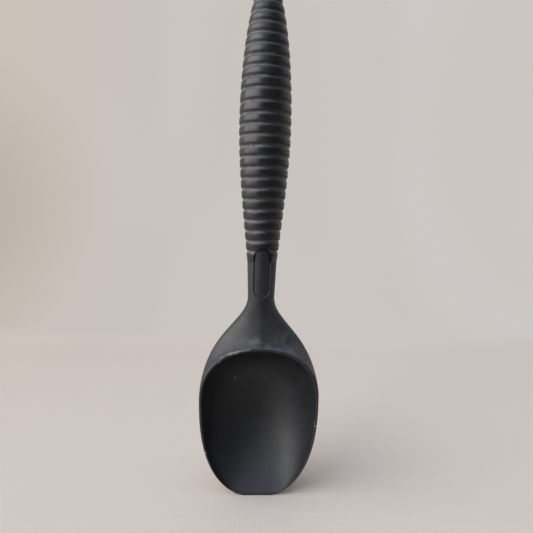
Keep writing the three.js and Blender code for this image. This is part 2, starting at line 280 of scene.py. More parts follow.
def rim_rounds(z):
    """Radii of the rim's outer and inner edge: blunt outside on the sides, blunt inside on the arch."""
    arch = smooth_step((z - ARCH_FROM) / (ARCH_FULL - ARCH_FROM))
    sides = smooth_step(z / SIDES_FROM) * (1 - arch)
    outer = RIM_ROUND + (RIM_ROUND_SIDES - RIM_ROUND) * sides
    inner = DISH_ROUND + (DISH_ROUND_ARCH - DISH_ROUND) * arch
    return outer, inner


def head_sections(heights, shares):
    """Outside of the head: level sections, each from the rim's right end round the back to its left.

    Behind the widest line a section is half an ellipse. Ahead of it each side is a superellipse that ends at
    the rounded rim or, above the rim, in the middle of the front. shares says how far along each section the
    points lie, from 0 to 1.
    """
    z = heights[:, None]
    wide = half_width(z)
    setback = girth_setback(z)
    run = front_reach(z)
    girth = setback + shoulder_sink(wide, z)
    rear = back_reach(z) - girth
    power = ARCH_POWER + (2 - ARCH_POWER) * smooth_step((z - BOWL_LENGTH) / SHOULDER_LENGTH)
    narrowing = 1 - (rim_half_width(z) / wide) ** power
    edge = rim_rounds(z)[0] * (1 - narrowing)

    start = np.arcsin(np.clip((edge - run) / rear, 0, 1))
    angle = start + (math.pi - 2 * start) * np.linspace(0, 1, 2 * SECTION_SAMPLES)
    back_x = wide * np.cos(angle)
    back_y = girth + rear * np.sin(angle)

    limit = np.clip((run - edge) / np.maximum(run, MERGE_DISTANCE), 0, 1)
    ahead = limit * np.sin(np.linspace(0, math.pi / 2, SECTION_SAMPLES)) ** (2 / power)
    wall = wide * np.clip(1 - narrowing * ahead ** power, 0, 1) ** (1 / power)
    front_x = np.where(run > edge, wall, back_x[:, :1])
    front_y = np.where(run > edge, setback - run * ahead + shoulder_sink(front_x, z), back_y[:, :1])

    x = np.hstack([front_x[:, ::-1], back_x, -front_x])
    y = np.hstack([front_y[:, ::-1], back_y, front_y])
    length = np.cumsum(np.hypot(np.diff(x, prepend=x[:, :1]), np.diff(y, prepend=y[:, :1])), axis=1)
    length /= length[:, -1:]
    across = np.array([np.interp(shares, along, line) for along, line in zip(length, x)])
    behind = np.array([np.interp(shares, along, line) for along, line in zip(length, y)])
    return np.stack([across, RIM_Y + behind, np.broadcast_to(z, across.shape)], -1)


def polar(radius, angle, z):
    """Points round the handle's axis: the angle runs from the middle of the front towards +X."""
    radius, angle, z = np.broadcast_arrays(radius, angle, z)
    return np.stack([radius * np.sin(angle), AXIS_Y - radius * np.cos(angle), z], -1)


def recess_distance(x, z):
    """Signed distance to the outline of the round-ended recess, seen from the front: negative inside it."""
    half = RECESS_WIDTH / 2
    low = RECESS_TOP - RECESS_LENGTH + half
    high = RECESS_TOP - half
    return np.hypot(x, z - np.clip(z, low, high)) - half


def neck_radius(z):
    return NECK_RADIUS + (NECK_TOP_RADIUS - NECK_RADIUS) * (z - NECK_START) / NECK_LENGTH


def bore_radius(z):
    taper = (BORE_TIP_RADIUS - BORE_ROOT_RADIUS) / (SLEEVE_TOP - GRIP_SEAT)
    return BORE_ROOT_RADIUS + taper * (z - GRIP_SEAT)


def sunk(body_radius, angle, z):
    """Radius round the axis; inside the recess's outline it is the floor, concentric with the neck."""
    floor = neck_radius(z) - RECESS_DEPTH
    x = body_radius * np.sin(angle)
    inside = smooth_step(0.5 - recess_distance(x, z) / RECESS_WALL)
    return np.where(np.cos(angle) > 0, body_radius + (floor - body_radius) * inside, body_radius)


class Shell:
    """Patches of points, in millimetres, that together make one closed surface, with marks on each point."""

    def __init__(self, *marks):
        self.points = []
        self.faces = []
        self.marks = {mark: [] for mark in marks}
        self.count = 0

    def take(self, points, marks):
        flat = np.asarray(points, float).reshape(-1, 3)
        first = self.count
        self.points.append(flat)
        self.count += len(flat)
        for mark, values in self.marks.items():
            values.append(np.broadcast_to(marks.get(mark, 0.0), np.shape(points)[:-1]).ravel())
        return first

    def grid(self, points, **marks):
        """A grid of points, row by row, as quads."""
        rows, columns = points.shape[:2]
        first = self.take(points, marks)
        index = first + np.arange(rows * columns).reshape(rows, columns)
        quads = np.stack([index[:-1, :-1], index[:-1, 1:], index[1:, 1:], index[1:, :-1]], -1)
        self.faces += quads.reshape(-1, 4).tolist()

    def polygon(self, points, **marks):
        """A single flat face."""
        first = self.take(points, marks)
        self.faces.append(list(range(first, self.count)))

    def build(self, name):
        """Mesh object at the origin: patches merged, faces pointing out, true corners sharp."""
        mesh = bpy.data.meshes.new(name)
        mesh.from_pydata((np.vstack(self.points) * MM).tolist(), [], self.faces)
        for mark, values in self.marks.items():
            layer = mesh.attributes.new(mark, "FLOAT", "POINT")
            layer.data.foreach_set("value", np.hstack(values).astype(np.float32))
        bm = bmesh.new()
        bm.from_mesh(mesh)
        bmesh.ops.remove_doubles(bm, verts=bm.verts, dist=MERGE_DISTANCE)
        bmesh.ops.recalc_face_normals(bm, faces=bm.faces)
        bm.to_mesh(mesh)
        bm.free()
        mesh.polygons.foreach_set("use_smooth", np.ones(len(mesh.polygons), bool))
        mesh.set_sharp_from_angle(angle=SHARP_ANGLE)
        piece = bpy.data.objects.new(name, mesh)
        bpy.context.scene.collection.objects.link(piece)
        return piece


def rim_heights():
    """Heights of rows that lie evenly along the rim's outer edge, from the lip to the top of the arch."""
    z = BOWL_LENGTH * np.sin(np.linspace(0, math.pi / 2, CURVE_SAMPLES)) ** 2
    x = rim_half_width(z)
    along = np.cumsum(np.hypot(np.diff(x, prepend=x[0]), np.diff(z, prepend=z[0])))
    heights = np.interp(np.linspace(0, along[-1], RIM_ROWS), along, z)
    heights[-1] = BOWL_LENGTH
    return heights


def dish_outline(heights):
    """Half widths and heights of the hollow's edge, one for each row of the rim."""
    top = BOWL_LENGTH - RIM_THICKNESS
    below = LIP_LAND + heights * (WIDEST_HEIGHT - LIP_LAND) / WIDEST_HEIGHT
    above = WIDEST_HEIGHT + (heights - WIDEST_HEIGHT) * (top - WIDEST_HEIGHT) / (BOWL_LENGTH - WIDEST_HEIGHT)
    z = np.where(heights < WIDEST_HEIGHT, below, above)
    return dish_half_width(z), z


def dish_half_width(z):
    top = BOWL_LENGTH - RIM_THICKNESS
    stretch = (BOWL_LENGTH - WIDEST_HEIGHT) / (top - WIDEST_HEIGHT)
    rim_z = np.where(z < WIDEST_HEIGHT, z, WIDEST_HEIGHT + (z - WIDEST_HEIGHT) * stretch)
    return rim_half_width(rim_z) * (1 - RIM_THICKNESS / BOWL_HALF_WIDTH)


def dish_depth(x, z):
    """Depth of the hollow behind the rim plane: half an ellipse across, a curve from lip to crown along."""
    top = BOWL_LENGTH - RIM_THICKNESS
    deepest = BOWL_DEPTH - BOWL_WALL
    lower = climb(z, (LIP_LAND, 0), (WIDEST_HEIGHT, deepest), BACK_LEAVE, (BACK_FULLNESS, 0))
    up = np.clip((z - WIDEST_HEIGHT) / (top - WIDEST_HEIGHT), 0, 1)
    middle = np.where(z < WIDEST_HEIGHT, lower, deepest * np.sqrt(1 - up ** 2))
    middle = np.where((z < LIP_LAND) | (z > top), 0, middle)
    across = np.clip(x / np.maximum(dish_half_width(z), MERGE_DISTANCE), -1, 1)
    return middle * np.sqrt(1 - across ** 2)


def arch_wear_and_highlight(x, z):
    """How much the rim is scraped and carries a painted highlight: most on the left of the arch, where the
    light falls, some on its right, little on the sides.
    """
    high = smooth_step((z - WEAR_HIGHLIGHT_FROM) / WEAR_HIGHLIGHT_RISE)
    return high * (WEAR_HIGHLIGHT_RIGHT + (1 - WEAR_HIGHLIGHT_RIGHT) * smooth_step(0.5 - (x - WEAR_HIGHLIGHT_MIDDLE) / WEAR_HIGHLIGHT_SPREAD))


def head_skin(shell, heights, shares):
    """Outside of the bowl, shoulder, neck and tang as one grid, closed at the bottom of the tang's core."""
    shoulder = BOWL_LENGTH + SHOULDER_LENGTH * np.linspace(0, 1, SHOULDER_ROWS + 1)[1:]
    body = head_sections(np.hstack([heights, shoulder]), shares)
    angle = 2 * math.pi * shares[None, :]

    neck_z = np.arange(NECK_START, GRIP_SEAT, RECESS_STEP)[1:, None]
    neck_z = np.vstack([neck_z, [[GRIP_SEAT]]])
    neck = polar(sunk(neck_radius(neck_z), angle, neck_z), angle, neck_z)

    pad_z = np.arange(GRIP_SEAT, RECESS_TOP + 2 * RECESS_STEP, RECESS_STEP)[:, None]
    tang = bore_radius(pad_z) - SLEEVE_CLEARANCE
    pad = polar(sunk(tang, angle, pad_z), angle, pad_z)

    tang_tip = bore_radius(TANG_TOP) - SLEEVE_CLEARANCE
    inner_radius = np.array([tang_tip, CORE_RADIUS, CORE_RADIUS, 0.0])[:, None]
    inner_z = np.array([TANG_TOP, TANG_TOP, CORE_BOTTOM, CORE_BOTTOM])[:, None]
    inner = polar(inner_radius, angle, inner_z)

    points = np.vstack([body, neck, pad, inner])
    step = np.linalg.norm(np.diff(body, axis=1, prepend=body[:, :1]), axis=-1)
    along = np.cumsum(step, axis=1)
    rim_gap = np.minimum(along, along[:, -1:] - along)
    rim_gap = np.where(body[..., 2] > BOWL_LENGTH, np.hypot(rim_gap, body[..., 2] - BOWL_LENGTH), rim_gap)
    # Wear on the arch's edge plus a painted highlight, strongest on its left, where the light falls
    worn = np.exp(-(rim_gap / WEAR_HIGHLIGHT_BAND) ** 2) * arch_wear_and_highlight(body[..., 0], body[..., 2])
    scuff_aside = (body[..., 0] - SCUFF_X) / SCUFF_WIDTH
    scuff_above = (body[..., 2] - SCUFF_Z) / SCUFF_HEIGHT
    scuff = np.exp(-scuff_aside ** 2 - scuff_above ** 2)
    scuff = np.where(body[..., 1] < AXIS_Y, scuff, 0)
    # Shoulder film: dust plus a painted sheen, heavier on the right side
    film = smooth_step((body[..., 2] - FILM_SHEEN_FROM) / (FILM_SHEEN_FULL - FILM_SHEEN_FROM))
    film = film * smooth_step((FILM_SHEEN_END - body[..., 2]) / (FILM_SHEEN_END - FILM_SHEEN_FADE))
    film = film * smooth_step((AXIS_Y - body[..., 1]) / AXIS_SETBACK + 0.5)
    film = film * (FILM_SHEEN_LEFT + (FILM_SHEEN_RIGHT - FILM_SHEEN_LEFT) * smooth_step(0.5 + body[..., 0] / FILM_SHEEN_SPREAD))
    rest = len(points) - len(body)
    none = np.zeros((rest, len(shares)))
    marks = {"worn": worn, "scuff": scuff, "film": film}
    shell.grid(points, **{mark: np.vstack([values, none]) for mark, values in marks.items()})
    return body[: len(heights), 0], body[: len(heights), -1], body[0]


def rim_and_dish(shell, heights, right, left, lip):
    """Rounded rim and hollow: rings of points that follow the rim's edge and shrink to the middle.

    The rim's section is a quarter round, a flat and a second quarter round. The dish's rings shrink towards
    its middle by the sine of an even step, so that they crowd where the wall is steep.
    """
    lip_x = np.linspace(right[0, 0], left[0, 0], LIP_STEPS + 1)[1:-1]
    lip_edge = np.stack([lip_x, np.full_like(lip_x, right[0, 1]), np.zeros_like(lip_x)], -1)
    outer = np.vstack([right[::-1], lip_edge, left])
    half, z = dish_outline(heights)
    dish_lip = half[0] * lip_x / right[0, 0]
    inner_x = np.hstack([half[::-1], dish_lip, -half])
    inner_z = np.hstack([z[::-1], np.full_like(lip_x, z[0]), z])

    middle_z = WIDEST_HEIGHT
    inner_round = rim_rounds(inner_z)[1]
    low = np.zeros_like(inner_x)
    high = np.ones_like(inner_x)
    for _ in range(EDGE_HALVINGS):
        share = (low + high) / 2
        deep = dish_depth(inner_x * share, middle_z + (inner_z - middle_z) * share) > inner_round
        low = np.where(deep, share, low)
        high = np.where(deep, high, share)
    edge_x = inner_x * low
    edge_z = middle_z + (inner_z - middle_z) * low

    drop = outer[:, 1] - RIM_Y
    gap = np.hypot(edge_x - outer[:, 0], edge_z - outer[:, 2])
    outer_arc = np.minimum(np.maximum(drop, MERGE_DISTANCE) / gap, BEAD_SHARE)
    inner_arc = np.minimum(inner_round / gap, 1 - outer_arc)
    turn = np.linspace(0, math.pi / 2, BEAD_STEPS + 1)[:, None]
    across = np.vstack([outer_arc * (1 - np.cos(turn)), 1 - inner_arc * (1 - np.cos(turn[::-1]))])
    back = np.vstack([drop * (1 - np.sin(turn)), inner_round * (1 - np.sin(turn[::-1]))])
    bead_x = outer[:, 0] + (edge_x - outer[:, 0]) * across
    bead_z = outer[:, 2] + (edge_z - outer[:, 2]) * across
    bead = np.stack([bead_x, RIM_Y + back, bead_z], -1)
    # Wear on the rim's bead plus a painted highlight, strongest on the arch's left
    rub_and_highlight = np.exp(-(across * gap / (2 * WEAR_HIGHLIGHT_BAND)) ** 2)
    shell.grid(bead, worn=rub_and_highlight * arch_wear_and_highlight(bead_x, bead_z))

    shrink = np.sin(np.linspace(math.pi / 2, 0, DISH_RINGS + 1))[:, None]
    dish_x = edge_x * shrink
    dish_z = middle_z + (edge_z - middle_z) * shrink
    dish_y = RIM_Y + dish_depth(dish_x, dish_z)
    dish_y[0] = RIM_Y + inner_round
    shell.grid(np.stack([dish_x, dish_y, dish_z], -1))

    shell.polygon(np.vstack([lip, lip_edge[::-1]]))


def make_head():
    """Bowl, shoulder, neck and tang in one piece."""
    shell = Shell("worn", "scuff", "film")
    even = np.linspace(0, 1, HEAD_COLUMNS + 1)
    shares = even - FRONT_CROWDING * np.sin(2 * math.pi * even) / (2 * math.pi)
    heights = rim_heights()
    right, left, lip = head_skin(shell, heights, shares)
    rim_and_dish(shell, heights, right, left, lip)
    return shell.build("bowl_and_neck")


def groove_heights():
    """Heights of the grooves from the seat up: an even pitch that grows under the thumb."""
    heights = [GRIP_SEAT]
    while len(heights) <= RIB_COUNT:
        offset = (heights[-1] + RIB_PITCH / 2 - GRIP_SEAT - TALL_RIB_HEIGHT) / TALL_RIB_SPREAD
        heights.append(heights[-1] + RIB_PITCH * (1 + TALL_RIB_GAIN * math.exp(-offset * offset)))
    return np.array(heights)


def spindle_radius(z):
    """Outline of the grip over the ribs' faces: two curves that meet at the swell."""
    lower = climb(z, (GRIP_SEAT, SEAT_RADIUS), (SWELL_Z, SWELL_RADIUS), SEAT_FLARE, (SWELL_REACH_DOWN, 0))
    upper = climb(z, (SWELL_Z, SWELL_RADIUS), (SLEEVE_TOP, END_RADIUS), (SWELL_REACH_UP, 0), END_FLARE)
    return np.where(z < SWELL_Z, lower, upper)


def soft_ramp(t):
    """Zero below 0 and rising evenly above it, with a rounded start."""
    return (t + np.sqrt(t * t + GROOVE_SOFTNESS ** 2)) / 2


def groove_cut(distance):
    """Share of a groove's full depth at a distance from its middle: a rounded vee with soft shoulders."""
    cut = soft_ramp(1 - np.hypot(distance, GROOVE_ROUND) / GROOVE_HALF_WIDTH)
    return cut / soft_ramp(1 - GROOVE_ROUND / GROOVE_HALF_WIDTH)


def make_grip():
    """Ribbed sleeve with a real bore, notched at the front for the recess.

    The outside is the spindle less a rounded vee at each groove, plus a slight crown on each rib. Round the
    notch each level ring is open at the front, as wide as the notch is there, and the cut's walls join it to
    the bore.
    """
    grooves = groove_heights()
    flank = FLANK_SHARES * GROOVE_HALF_WIDTH
    chamfer = CHAMFER_SHARES * SEAT_CHAMFER
    low = grooves[1:-1, None]
    high = grooves[1:, None]
    faces = grooves[:-1, None] + np.diff(grooves)[:, None] * FACE_SHARES
    notch_half = RECESS_WIDTH / 2 + NOTCH_CLEARANCE
    notch_centre = RECESS_TOP - RECESS_WIDTH / 2
    notch_top = notch_centre + notch_half
    notch_rows = notch_centre + notch_half * np.sin(np.linspace(0, math.pi / 2, NOTCH_ROWS))
    ribs = np.hstack([(low + flank).ravel(), (high - flank[:-2]).ravel(), faces.ravel()])
    rows = np.unique(np.hstack([GRIP_SEAT + chamfer, ribs, notch_rows]))[:, None]

    rib = np.clip(np.searchsorted(grooves, rows[:, 0], side="right") - 1, 0, RIB_COUNT - 1)
    below = rows - grooves[rib][:, None]
    above = grooves[rib + 1][:, None] - rows
    distance = np.where(rib[:, None] == 0, above, np.minimum(below, above))
    cut = groove_cut(distance)
    crown = RIB_CROWN * (1 - cut) * np.sin(math.pi * below / (below + above)) ** 2
    seat = SEAT_CHAMFER * np.clip(1 - (rows - GRIP_SEAT) / SEAT_CHAMFER, 0, 1) ** 2
    radius = spindle_radius(rows) - GROOVE_DEPTH * cut + crown - seat

    rise = np.clip(rows - notch_centre, 0, notch_half)
    opening = np.sqrt(notch_half ** 2 - rise ** 2)
    even = np.linspace(0, 1, GRIP_COLUMNS + 1)

    def ring(radius):
        start = np.arcsin(np.clip(opening / radius, 0, 1))
        return polar(radius, start + (2 * math.pi - 2 * start) * even, rows)

    outside = ring(radius)
    bore = ring(bore_radius(rows))
    cut_rows = rows[:, 0] <= notch_top + MERGE_DISTANCE
    kept = cut_rows.copy()
    kept[-1] = True
    over = np.where((below < above) & (rib[:, None] > 0), below, -above)
    aside = outside[..., 0] / radius
    # Dust in the grooves, with painted shade: it fades towards the right, away from the window lamp
    dust = DUST_SHADED_RIGHT + (1 - DUST_SHADED_RIGHT) * smooth_step(0.5 - aside / DUST_SHADE_SPREAD)
    dust = dust * np.exp(-((over - DUST_MIDDLE) / DUST_REACH) ** 2)
    # Painted shadow: a thin dark line where the rib above would shade the groove
    line = np.exp(-((over - SHADE_LINE_RISE) / SHADE_LINE_WIDTH) ** 2)

    shell = Shell("dusty", "line")
    size = outside.shape[:2]
    shell.grid(outside, dusty=dust, line=np.broadcast_to(line, size))
    shell.grid(bore[kept])
    shell.grid(np.stack([outside[0], bore[0]]))
    shell.grid(np.stack([outside[-1], bore[-1]]))
    for end in (0, -1):
        shell.grid(np.stack([outside[cut_rows, end], bore[cut_rows, end]]))
    return shell.build("ribbed_grip")


def make_plug():
    """Domed plug: a stem, a flange on the sleeve, a short flank and a quarter ellipse up to the tip."""
    stem = CORE_RADIUS - PLUG_CLEARANCE
    edge_z = SLEEVE_TOP + GROOVE_HALF_WIDTH
    turn = np.linspace(0, math.pi / 2, PLUG_ROWS)
    dome_r = END_RADIUS * np.cos(turn)
    dome_z = edge_z + (HANDLE_TIP - edge_z) * np.sin(turn)
    flank = np.arange(PLUG_FLANK_ROWS) / PLUG_FLANK_ROWS
    flank_r = END_RADIUS - GROOVE_DEPTH * (1 - flank) ** PLUG_FLANK_POWER
    radius = np.hstack([0, stem, stem, flank_r, dome_r])[:, None]
    radius[-1] = 0
    z = np.hstack([PLUG_FOOT, PLUG_FOOT, SLEEVE_TOP, SLEEVE_TOP + GROOVE_HALF_WIDTH * flank, dome_z])[:, None]
    shell = Shell("dusty")
    dust = np.clip(1 - (z - SLEEVE_TOP) / GROOVE_HALF_WIDTH, 0, 1) * (z >= SLEEVE_TOP)
    angle = np.linspace(0, 2 * math.pi, PLUG_COLUMNS + 1)[None, :]
    points = polar(radius, angle, z)
    shell.grid(points, dusty=np.broadcast_to(dust, points.shape[:2]))
    return shell.build("end_dome")


class Nodes:
    """Adds shader nodes to a tree: an input is given a plain value, or an output that is linked to it."""

    def __init__(self, tree):
        self.tree = tree

    def add(self, kind, inputs, **settings):
        node = self.tree.nodes.new(kind)
        for name, value in settings.items():
            setattr(node, name, value)
        for name, value in inputs.items():
            if isinstance(value, bpy.types.NodeSocket):
                self.tree.links.new(value, node.inputs[name])
            else:
                node.inputs[name].default_value = value
        return node

    def math(self, operation, a, b=0.0):
        return self.add("ShaderNodeMath", {0: a, 1: b}, operation=operation).outputs[0]

    def ramp(self, value, low, high):
        """Smooth step from 0 at low to 1 at high."""
        inputs = {"Value": value, "From Min": low, "From Max": high}
        return self.add("ShaderNodeMapRange", inputs, interpolation_type="SMOOTHSTEP").outputs[0]

    def noise(self, vector, scale, detail=3.0, roughness=0.55):
        inputs = {"Vector": vector, "Scale": scale, "Detail": detail, "Roughness": roughness}
        return self.add("ShaderNodeTexNoise", inputs).outputs[0]

    def place(self, stretch=(1.0, 1.0, 1.0)):
        """Object coordinates, in metres, stretched along the axes."""
        source = self.add("ShaderNodeTexCoord", {}).outputs["Object"]
        return self.add("ShaderNodeMapping", {"Vector": source, "Scale": stretch}).outputs[0]

    def mark(self, name):
        """A value stored on the mesh's points."""
        return self.add("ShaderNodeAttribute", {}, attribute_name=name).outputs["Fac"]

    def blend(self, factor, a, b):
        inputs = {"Factor": factor, 6: a, 7: b}
        return self.add("ShaderNodeMix", inputs, data_type="RGBA").outputs[2]

    def group(self, tree, inputs):
        return self.add("ShaderNodeGroup", inputs, node_tree=tree).outputs


# How noises are turned into mottle, dust and rubbed patches
MOTTLE_RANGE = (0.3, 0.72)
DUST_FINENESS = 7.0
DUST_STRETCH = (1.0, 1.0, 2.5)
DUST_COARSE = 0.75
DUST_FINE = 0.45
DUST_RANGE = (0.34, 0.8)
PATCH_RANGE = (0.28, 0.72)
PATCH_EDGE = 0.3
PATCH_ONSET = 0.2


def new_group(name, inputs, outputs):
    """Empty shader node group with float sockets of these names."""
    tree = bpy.data.node_groups.new(name, "ShaderNodeTree")
    for socket in inputs:
        tree.interface.new_socket(socket, in_out="INPUT", socket_type="NodeSocketFloat")
    for socket in outputs:
        tree.interface.new_socket(socket, in_out="OUTPUT", socket_type="NodeSocketFloat")
    nodes = Nodes(tree)
    return tree, nodes, tree.nodes.new("NodeGroupInput").outputs, tree.nodes.new("NodeGroupOutput").inputs


def moulded_grain():
    """Fine matte grain of a mould, as a height, and a slow mottle of the surface's tone."""
    scales = ["Grain scale", "Mottle scale"]
    tree, nodes, given, out = new_group("moulded_grain", scales, ["Height", "Mottle"])
    place = nodes.place()
    fine = nodes.noise(place, given["Grain scale"], 2.0, 0.6)
    mottle = nodes.noise(place, given["Mottle scale"], 4.0, 0.6)
    tree.links.new(fine, out["Height"])
    tree.links.new(nodes.ramp(mottle, *MOTTLE_RANGE), out["Mottle"])
    return tree


def patchy_dust_and_sheen():
    """Patchy dust, also carrying the painted sheen on the shoulder: an amount from 0 to 1 broken up by a coarse
    and a fine noise.
    """
    tree, nodes, given, out = new_group("patchy_dust_and_sheen", ["Amount", "Patch scale"], ["Mask"])
    coarse = nodes.noise(nodes.place(), given["Patch scale"], 5.0, 0.65)
    fine_scale = nodes.math("MULTIPLY", given["Patch scale"], DUST_FINENESS)
    fine = nodes.noise(nodes.place(DUST_STRETCH), fine_scale, 3.0, 0.7)
    coarse_part = nodes.math("MULTIPLY", coarse, DUST_COARSE)
    fine_part = nodes.math("MULTIPLY", fine, DUST_FINE)
    level = nodes.ramp(nodes.math("ADD", coarse_part, fine_part), *DUST_RANGE)
    tree.links.new(nodes.math("MULTIPLY", level, given["Amount"]), out["Mask"])
    return tree


def rubbed_patches():
    """Wear that spreads in patches: an amount from none at 0 to all over at 1."""
    tree, nodes, given, out = new_group("rubbed_patches", ["Amount", "Patch scale"], ["Mask"])
    patch = nodes.ramp(nodes.noise(nodes.place(), given["Patch scale"], 4.0, 0.65), *PATCH_RANGE)
    left = nodes.math("SUBTRACT", 1.0, given["Amount"])
    low = nodes.math("SUBTRACT", left, PATCH_EDGE)
    mask = nodes.ramp(patch, low, nodes.math("ADD", left, PATCH_EDGE))
    onset = nodes.ramp(given["Amount"], 0.0, PATCH_ONSET)
    tree.links.new(nodes.math("MULTIPLY", mask, onset), out["Mask"])
    return tree


def lint_specks():
    """A few pale specks: the middles of sparse cells, most of which stay empty."""
    tree, nodes, given, out = new_group("lint_specks", ["Cell scale", "Speck size", "Share"], ["Mask"])
    cells = nodes.add("ShaderNodeTexVoronoi", {"Vector": nodes.place(), "Scale": given["Cell scale"]})
    close = nodes.math("LESS_THAN", cells.outputs["Distance"], given["Speck size"])
    chance = nodes.add("ShaderNodeSeparateColor", {"Color": cells.outputs["Color"]}).outputs[0]
    picked = nodes.math("LESS_THAN", chance, given["Share"])
    tree.links.new(nodes.math("MULTIPLY", close, picked), out["Mask"])
    return tree


GRAIN = moulded_grain()
DUST_AND_SHEEN = patchy_dust_and_sheen()
RUBBED = rubbed_patches()
LINT = lint_specks()


def new_material(name):
    material = bpy.data.materials.new(name)
    material.use_nodes = True
    nodes = Nodes(material.node_tree)
    return material, nodes, material.node_tree.nodes["Principled BSDF"]


def link_surface(nodes, shader, colour, roughness, height, relief):
    """Joins a colour, a roughness and a height, with its relief in metres, to a material's shader."""
    bump = nodes.add("ShaderNodeBump", {"Height": height, "Distance": relief, "Strength": 1.0})
    nodes.tree.links.new(colour, shader.inputs["Base Color"])
    nodes.tree.links.new(roughness, shader.inputs["Roughness"])
    nodes.tree.links.new(bump.outputs[0], shader.inputs["Normal"])


HEAD_DARK = (0.010, 0.011, 0.014, 1)
HEAD_PALE = (0.016, 0.017, 0.021, 1)
GRIP_DARK = (0.006, 0.006, 0.0065, 1)
GRIP_PALE = (0.013, 0.013, 0.014, 1)
SHADE_LINE_COLOUR = (0.005, 0.005, 0.005, 1)
DUST_AND_SHEEN_COLOUR = (0.235, 0.25, 0.275, 1)
WEAR_AND_HIGHLIGHT_COLOUR = (0.21, 0.205, 0.21, 1)
LINT_COLOUR = (0.40, 0.41, 0.40, 1)

# Strengths of the finishes; the grain's relief is in metres
SHOULDER_DUST_AND_SHEEN = 0.16
HEAD_FILM_LEAST = 0.03
SCUFF_STRENGTH = 0.25
HEAD_ROUGHNESS = 0.46
HEAD_ROUGHNESS_MOTTLE = 0.10
RUBBED_ROUGHNESS = 0.2
HEAD_RELIEF = 0.000012
GROOVE_DUST = 0.8
GRIP_ROUGHNESS = 0.29
GRIP_ROUGHNESS_MOTTLE = 0.12
DUSTY_ROUGHNESS = 0.45
GRIP_RELIEF = 0.000016
PLUG_ROUGHNESS_MOTTLE = 0.12


def head_plastic():
    """Black satin plastic: grain, slow mottle, scraped arch with a painted highlight, scuffed shoulder, dust
    with a painted sheen on the shoulder, and lint.
    """
    material, nodes, shader = new_material("head_plastic")
    grain = nodes.group(GRAIN, {"Grain scale": 3500.0, "Mottle scale": 110.0})
    colour = nodes.blend(grain["Mottle"], HEAD_DARK, HEAD_PALE)
    # Shoulder film: dust plus a painted sheen; a faint even dust over the rest
    amount = nodes.math("ADD", nodes.math("MULTIPLY", nodes.mark("film"), SHOULDER_DUST_AND_SHEEN), HEAD_FILM_LEAST)
    film = nodes.group(DUST_AND_SHEEN, {"Amount": amount, "Patch scale": 260.0})["Mask"]
    colour = nodes.blend(film, colour, DUST_AND_SHEEN_COLOUR)
    # Arch mark: real wear plus a painted highlight on the left of the arch; the scuff is real wear
    worn = nodes.group(RUBBED, {"Amount": nodes.mark("worn"), "Patch scale": 420.0})["Mask"]
    scuff = nodes.group(RUBBED, {"Amount": nodes.mark("scuff"), "Patch scale": 700.0})["Mask"]
    rub_and_highlight = nodes.math("MAXIMUM", worn, nodes.math("MULTIPLY", scuff, SCUFF_STRENGTH))
    colour = nodes.blend(rub_and_highlight, colour, WEAR_AND_HIGHLIGHT_COLOUR)
    lint = nodes.group(LINT, {"Cell scale": 170.0, "Speck size": 0.06, "Share": 0.16})["Mask"]
    colour = nodes.blend(lint, colour, LINT_COLOUR)
    mottle = nodes.math("MULTIPLY", grain["Mottle"], HEAD_ROUGHNESS_MOTTLE)
    rough = nodes.math("ADD", mottle, HEAD_ROUGHNESS)
    rough = nodes.math("ADD", rough, nodes.math("MULTIPLY", rub_and_highlight, RUBBED_ROUGHNESS))
    link_surface(nodes, shader, colour, rough, grain["Height"], HEAD_RELIEF)
    return material


def grip_rubber():
    """Black satin rubber with dull pale dust in the grooves, fading to the right as painted shade, a painted
    shadow line over each and faint lint.
    """
    material, nodes, shader = new_material("grip_rubber")
    grain = nodes.group(GRAIN, {"Grain scale": 2600.0, "Mottle scale": 160.0})
    colour = nodes.blend(grain["Mottle"], GRIP_DARK, GRIP_PALE)
    film = nodes.group(DUST_AND_SHEEN, {"Amount": 0.02, "Patch scale": 330.0})["Mask"]
    colour = nodes.blend(film, colour, DUST_AND_SHEEN_COLOUR)
    # Groove dust, fading towards the right as painted shade
    dusty = nodes.mark("dusty")
    dust = nodes.group(DUST_AND_SHEEN, {"Amount": dusty, "Patch scale": 240.0})["Mask"]
    colour = nodes.blend(nodes.math("MULTIPLY", dust, GROOVE_DUST), colour, DUST_AND_SHEEN_COLOUR)
    # Painted shadow line over each groove
    line = nodes.mark("line")
    colour = nodes.blend(line, colour, SHADE_LINE_COLOUR)
    lint = nodes.group(LINT, {"Cell scale": 330.0, "Speck size": 0.05, "Share": 0.05})["Mask"]
    colour = nodes.blend(lint, colour, LINT_COLOUR)
    mottle = nodes.math("MULTIPLY", grain["Mottle"], GRIP_ROUGHNESS_MOTTLE)
    rough = nodes.math("ADD", mottle, GRIP_ROUGHNESS)
    dull = nodes.math("MULTIPLY", nodes.math("MAXIMUM", line, dusty), DUSTY_ROUGHNESS)
    rough = nodes.math("ADD", rough, dull)
    link_surface(nodes, shader, colour, rough, grain["Height"], GRIP_RELIEF)
    return material


def plug_plastic():
    """Black satin plastic of the plug, with dust where it meets the sleeve."""
    material, nodes, shader = new_material("plug_plastic")
    grain = nodes.group(GRAIN, {"Grain scale": 3000.0, "Mottle scale": 180.0})
    colour = nodes.blend(grain["Mottle"], HEAD_DARK, HEAD_PALE)
    dust = nodes.group(DUST_AND_SHEEN, {"Amount": nodes.mark("dusty"), "Patch scale": 300.0})["Mask"]
    film = nodes.group(DUST_AND_SHEEN, {"Amount": 0.04, "Patch scale": 300.0})["Mask"]
    colour = nodes.blend(nodes.math("MAXIMUM", dust, film), colour, DUST_AND_SHEEN_COLOUR)
    mottle = nodes.math("MULTIPLY", grain["Mottle"], PLUG_ROUGHNESS_MOTTLE)
    rough = nodes.math("ADD", mottle, HEAD_ROUGHNESS)
    link_surface(nodes, shader, colour, rough, grain["Height"], HEAD_RELIEF)
    return material


